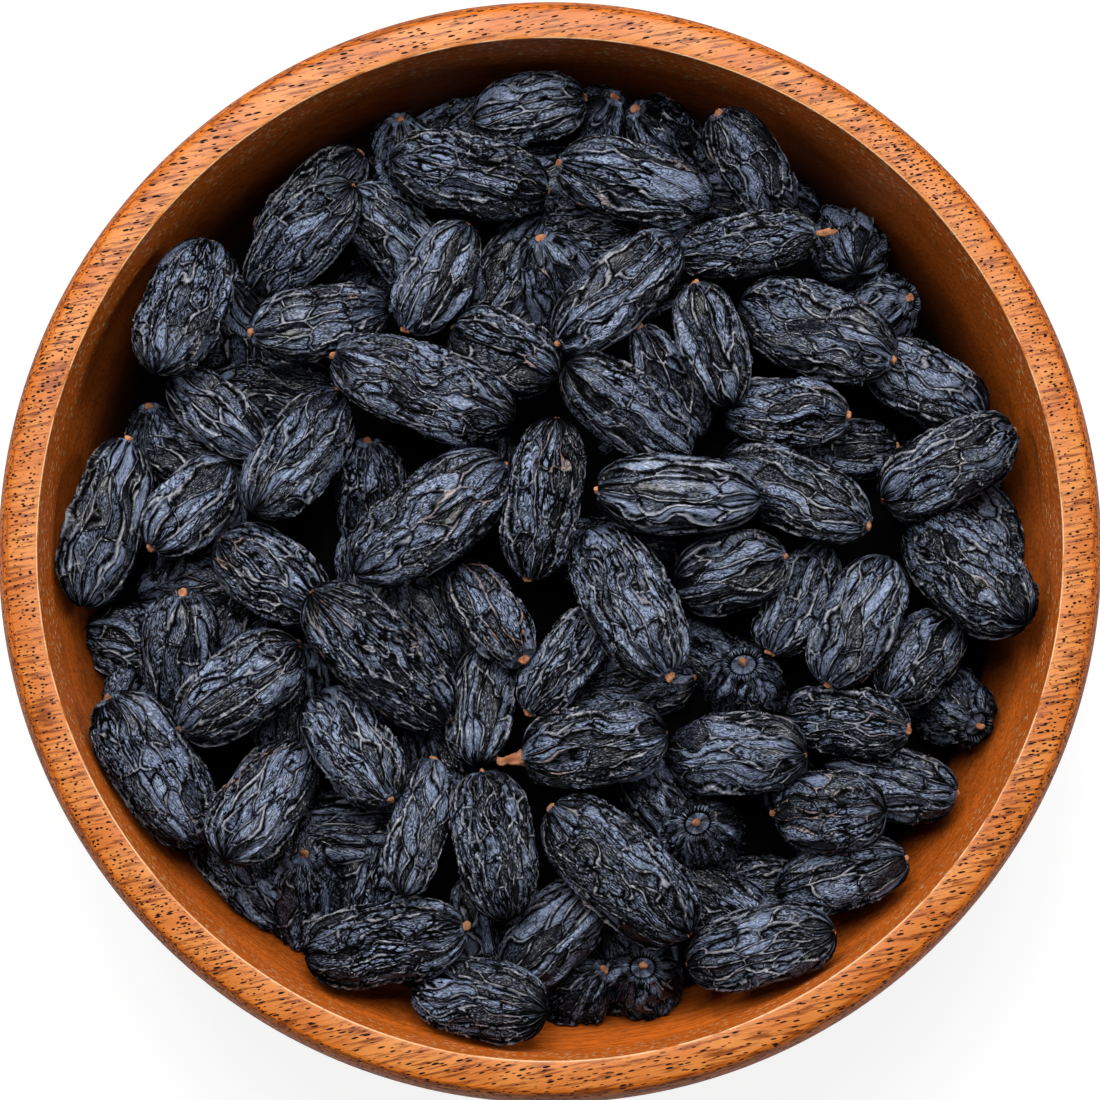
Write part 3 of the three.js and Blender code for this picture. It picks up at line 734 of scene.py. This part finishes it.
skin = raisin_skin()
for number in range(1, SEPARATE + 1):
    node = f"raisin_{number:02d}"
    half, width, stem, axis, middle = raisin_in(node)
    special = SPECIAL.get(number, {})
    seed = number * SEED_STEP
    turns = column_turns(SKIN_GRID[1], special is ROSETTE)
    stem = stem if stem > LONG_STEM else SHORT_STEM + STEM_MORE * (stem > 1)
    points, masks, chart = raisin_form(half, width, stem, SKIN_GRID[0], turns, seed, look_of(seed, special))
    piece = raisin_piece(f"black_{node}", laid(points, axis, middle), masks, chart, len(turns),
                         UPPERMOST_FACES if number <= UPPERMOST else COVERED_FACES)
    piece.data.materials.append(skin)
    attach(piece, "root")
    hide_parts(node)


# Raisins below: the same raisins where only ends and sides of them show in the gaps. They lie on others that
# stay out of sight, pressed against the bowl's wall, and make one piece with the heap inside, painted black
# as shade.
HEAP_TOP = BOWL_HEIGHT - 2.5
HEAP_FALL = 5.5
HEAP_RADIUS = 52
CORE_DEPTH = 13
FILL_DEPTH = 10.5
FILL_COUNT = 26
FILL_SIZE = (16, 9.4)
FILL_HEADINGS = 67
WALL_CLEAR = 0.4
DOME_STEPS = 24
HEAP_SIDES = 64
STEEP = 0.6
SINK_SHARE = 12
BELOW_SEEDS = 7000
BELOW_GRID = (96, 110)
BELOW_FACES = 4300
FILL_SEEDS = 20000
FILL_GRID = (48, 60)
FILL_FACES = 1300

# Each row: place across and up the photo, heading, length, width, depth under the heap's top, tilt.
BELOW = [
    (14.5, 50, 140, 16, 8.5, 8, 45),
    (-17.5, 47, 95, 16, 9, 8, 45),
    (1.5, 32, 115, 16, 9.5, 7, 38),
    (36, 38, 100, 16, 9.5, 8, -55),
    (38.5, 29, 20, 16, 9.5, 8, 50),
    (-21.5, 6.5, 92, 16, 9, 6, 28),
    (34, 12.5, 5, 16, 8, 7, 8),
    (47.5, -17.5, -40, 16, 9.5, 8, 50),
    (-49, -10.5, 170, 15, 9.5, 7, 0),
    (18.5, -34, 120, 16, 10, 9, 72),
    (-29.5, -41.5, 88, 16, 10, 7, 40),
    (11, -51, 90, 16, 10, 9, 75),
    (23.5, -16.5, 100, 16, 10, 10, 62),
    (6, 52, 60, 15, 8.5, 10, 60),
    (-12.5, 52, 40, 15, 8.5, 11, 0),
    (-47, 11.5, 100, 16, 8.5, 10, 35),
    (-43.5, 12, 160, 16, 8.5, 9, 0),
    (-33.5, 20, 0, 16, 8.5, 11, 10),
    (-37.5, 27, -70, 16, 8.5, 10, -30),
    (53, 3.5, -60, 16, 9, 9, 0),
    (-42, -3, 15, 16, 8.5, 9, 10),
    (-38, -7, 60, 16, 8.5, 10, 0),
    (-36.5, -38, -50, 16, 9, 9, -10),
    (-24, -32.5, 0, 16, 9, 9, 0),
    (-7.5, -45.5, -75, 16, 8.5, 9, -15),
    (3, -53, 45, 16, 9.5, 10, 50),
    (20, -41.5, -35, 16, 9, 9, 0),
    (26, -40, 180, 15, 8.5, 11, 0),
    (9.5, -16, 10, 16, 8.5, 10, 0),
    (-21, -37.5, 75, 16, 8.5, 11, 0),
    (-14.5, -7, -60, 17, 9, 9, 0),
    (3.5, 39.5, 0, 16, 8.5, 10, 20),
    (11, 38.5, 0, 16, 8.5, 11, 0),
    (-5, 34, 60, 16, 8.5, 10, 0),
]
ROSETTES_BELOW = {4, 7, 9, 10, 11, 12}

packed = nodes["raisin_bed"].data
packed_bed = BVHTree.FromPolygons([v.co for v in packed.vertices], [p.vertices[:] for p in packed.polygons])
wall = bowl_inside()[::-1]


def heap_height(x, y):
    """How high the rounded top of the heap is over a place."""
    return HEAP_TOP - HEAP_FALL * (x * x + y * y) / HEAP_RADIUS ** 2


def in_the_bowl(points):
    """Points drawn in from the bowl's wall, as raisins are pressed against it."""
    reach = np.maximum(np.hypot(points[:, 0], points[:, 1]), 1e-6)
    room = np.interp(points[:, 2], wall[:, 1], wall[:, 0]) - WALL_CLEAR
    share = np.minimum(1, room / reach)
    return points * np.stack([share, share, np.ones(len(points))], 1)


def sunk_place(half, width, axis, middle):
    """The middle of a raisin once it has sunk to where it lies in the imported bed."""
    t, turn = np.meshgrid(np.linspace(-0.8, 0.8, 9), np.radians([40, 65, 90, 115, 140]))
    radius = np.sqrt(1 - np.abs(t) ** OUTLINE_POWER) * width / 2 * 0.95
    top = np.stack([t * half, radius * np.cos(turn), radius * np.sin(turn) * FLATNESS], -1).reshape(-1, 3)
    down = Vector((0, 0, -1))
    drops = []
    for point in laid(top, axis, middle):
        hit = packed_bed.ray_cast(Vector((point[0], point[1], 2 * BOWL_HEIGHT)) * MM, down)[0]
        if hit is not None:
            drops.append(hit.z / MM - point[2])
    return middle + np.array((0, 0, min(0, np.percentile(drops, SINK_SHARE))))


def raisin_below(name, row, seed, special, grid, faces_kept):
    """A raisin of the bed as a thinned piece, ready to be joined."""
    x, y, heading, length, width, depth, tilt = row
    heading, tilt = np.radians(heading), np.radians(tilt)
    axis = np.array((np.cos(heading) * np.cos(tilt), np.sin(heading) * np.cos(tilt), np.sin(tilt)))
    middle = np.array((x, y, heap_height(x, y) - depth))
    middle = sunk_place(length / 2, width, axis, middle)
    rows, columns = grid
    turns = column_turns(columns, abs(tilt) > STEEP)
    look = look_of(seed, special)
    points, masks, chart = raisin_form(length / 2, width, SHORT_STEM, rows, turns, seed, look)
    return raisin_piece(name, in_the_bowl(laid(points, axis, middle)), masks, chart, columns, faces_kept)


def hidden_heap():
    """The heap below the raisins, filled with more of them, as points and faces; its material paints it black
    as shade.
    """
    edge = HEAP_TOP - HEAP_FALL - CORE_DEPTH
    sides = [(r - WALL_CLEAR, z + WALL_CLEAR) for r, z in wall if r > WALL_CLEAR and z < edge]
    rim = sides[-1][0]
    dome = [(share * rim, edge + HEAP_FALL * (1 - share ** 2)) for share in np.linspace(1, 0, DOME_STEPS)]
    return turned_form([(0, FLOOR_THICK + WALL_CLEAR), *sides, *dome], HEAP_SIDES)


def joined(name, pieces):
    """One object from several, with the masks of their skins."""
    pieces[0].name = name
    with bpy.context.temp_override(active_object=pieces[0], selected_editable_objects=pieces):
        bpy.ops.object.join()
    return pieces[0]


below = []
for number, row in enumerate(BELOW):
    special = ROSETTE if number in ROSETTES_BELOW else {}
    seed = BELOW_SEEDS + number * SEED_STEP
    below.append(raisin_below(f"below_{number}", row, seed, special, BELOW_GRID, BELOW_FACES))
golden = np.pi * (3 - np.sqrt(5))
for number in range(FILL_COUNT):
    out = HEAP_RADIUS * np.sqrt((number + 0.5) / FILL_COUNT)
    x, y = out * np.cos(number * golden), out * np.sin(number * golden)
    row = (x, y, number * FILL_HEADINGS, *FILL_SIZE, FILL_DEPTH, 0)
    seed = FILL_SEEDS + number * SEED_STEP
    below.append(raisin_below(f"filling_{number}", row, seed, {}, FILL_GRID, FILL_FACES))
heap = new_piece("heap_inside", *hidden_heap())
# Painted shade: with its edge mask at 1 and no crease distance, the heap takes the black crease colour all
# over.
heap_edge = heap.data.attributes.new("edge", "FLOAT", "POINT")
heap_edge.data.foreach_set("value", [1.0] * len(heap.data.vertices))
bed = joined("raisins_below", [*below, heap])
bed.data.materials.clear()
bed.data.materials.append(skin)
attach(bed, "root")
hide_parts("raisin_bed")


# Floor, lights and camera: a seamless pale floor, one large soft light overhead with a weak one on each side,
# and a dim sky all round. The camera stands almost straight above the bowl and a little towards -Y.
CAMERA_AWAY = 600
CAMERA_TILT = 4.3
AIM_HEIGHT = 43
BOWL_IN_FRAME = 549.8 / 550
FLOOR_HALF = 3
FLOOR_GREY = 0.25
FLOOR_GLOW = 0.3
FLOOR_SEEN = 0.85
SKY = 0.08
# Each light: name, place and size in metres, power in watts.
LIGHTS = [
    ("overhead", (-0.05, 0.42, 0.92), 0.65, 10.5),
    ("left", (-0.8, 0.25, 0.7), 0.3, 2.0),
    ("right", (0.8, 0.25, 0.7), 0.3, 2.0),
]

floor_corners = np.array([(-1, -1, 0), (1, -1, 0), (1, 1, 0), (-1, 1, 0)]) * FLOOR_HALF / MM
floor = new_piece("pale_floor", floor_corners, [(0, 1, 2, 3)])
paper, paper_tree, paper_shader = new_material("white_paper", 0.9)
paper_shader.inputs["Base Color"].default_value = (FLOOR_GREY, FLOOR_GREY, FLOOR_GREY, 1)
paper_shader.inputs["Emission Color"].default_value = (1, 1, 1, 1)
seen = add_node(paper_tree, "ShaderNodeLightPath").outputs["Is Camera Ray"]
glow = ramp(paper_tree, seen, 0.0, 1.0, FLOOR_GLOW, FLOOR_SEEN)
paper_tree.links.new(glow, paper_shader.inputs["Emission Strength"])
floor.data.materials.append(paper)

tilt = np.radians(CAMERA_TILT)
camera_data = bpy.data.cameras.new("camera")
camera = bpy.data.objects.new("camera", camera_data)
bpy.context.scene.collection.objects.link(camera)
aim = Vector((0, 0, AIM_HEIGHT * MM))
camera.location = aim + Vector((0, -np.sin(tilt), np.cos(tilt))) * CAMERA_AWAY * MM
camera.rotation_euler = (tilt, 0, 0)
camera_data.sensor_fit = "HORIZONTAL"
camera_data.angle = 2 * np.arctan(BOWL_RADIUS / BOWL_IN_FRAME / CAMERA_AWAY)
bpy.context.scene.camera = camera


def soft_light(name, place, size, power):
    """A square light aimed at the bowl."""
    light = bpy.data.lights.new(name, "AREA")
    light.energy = power
    light.size = size
    lamp = bpy.data.objects.new(name, light)
    lamp.location = place
    lamp.rotation_euler = (aim - Vector(place)).to_track_quat("-Z", "Y").to_euler()
    bpy.context.scene.collection.objects.link(lamp)


for light_row in LIGHTS:
    soft_light(*light_row)
world = bpy.data.worlds.new("studio")
world.use_nodes = True
sky = world.node_tree.nodes["Background"]
sky.inputs["Color"].default_value = (1, 1, 1, 1)
sky.inputs["Strength"].default_value = SKY
bpy.context.scene.world = world
bpy.context.scene.view_settings.view_transform = "Standard"
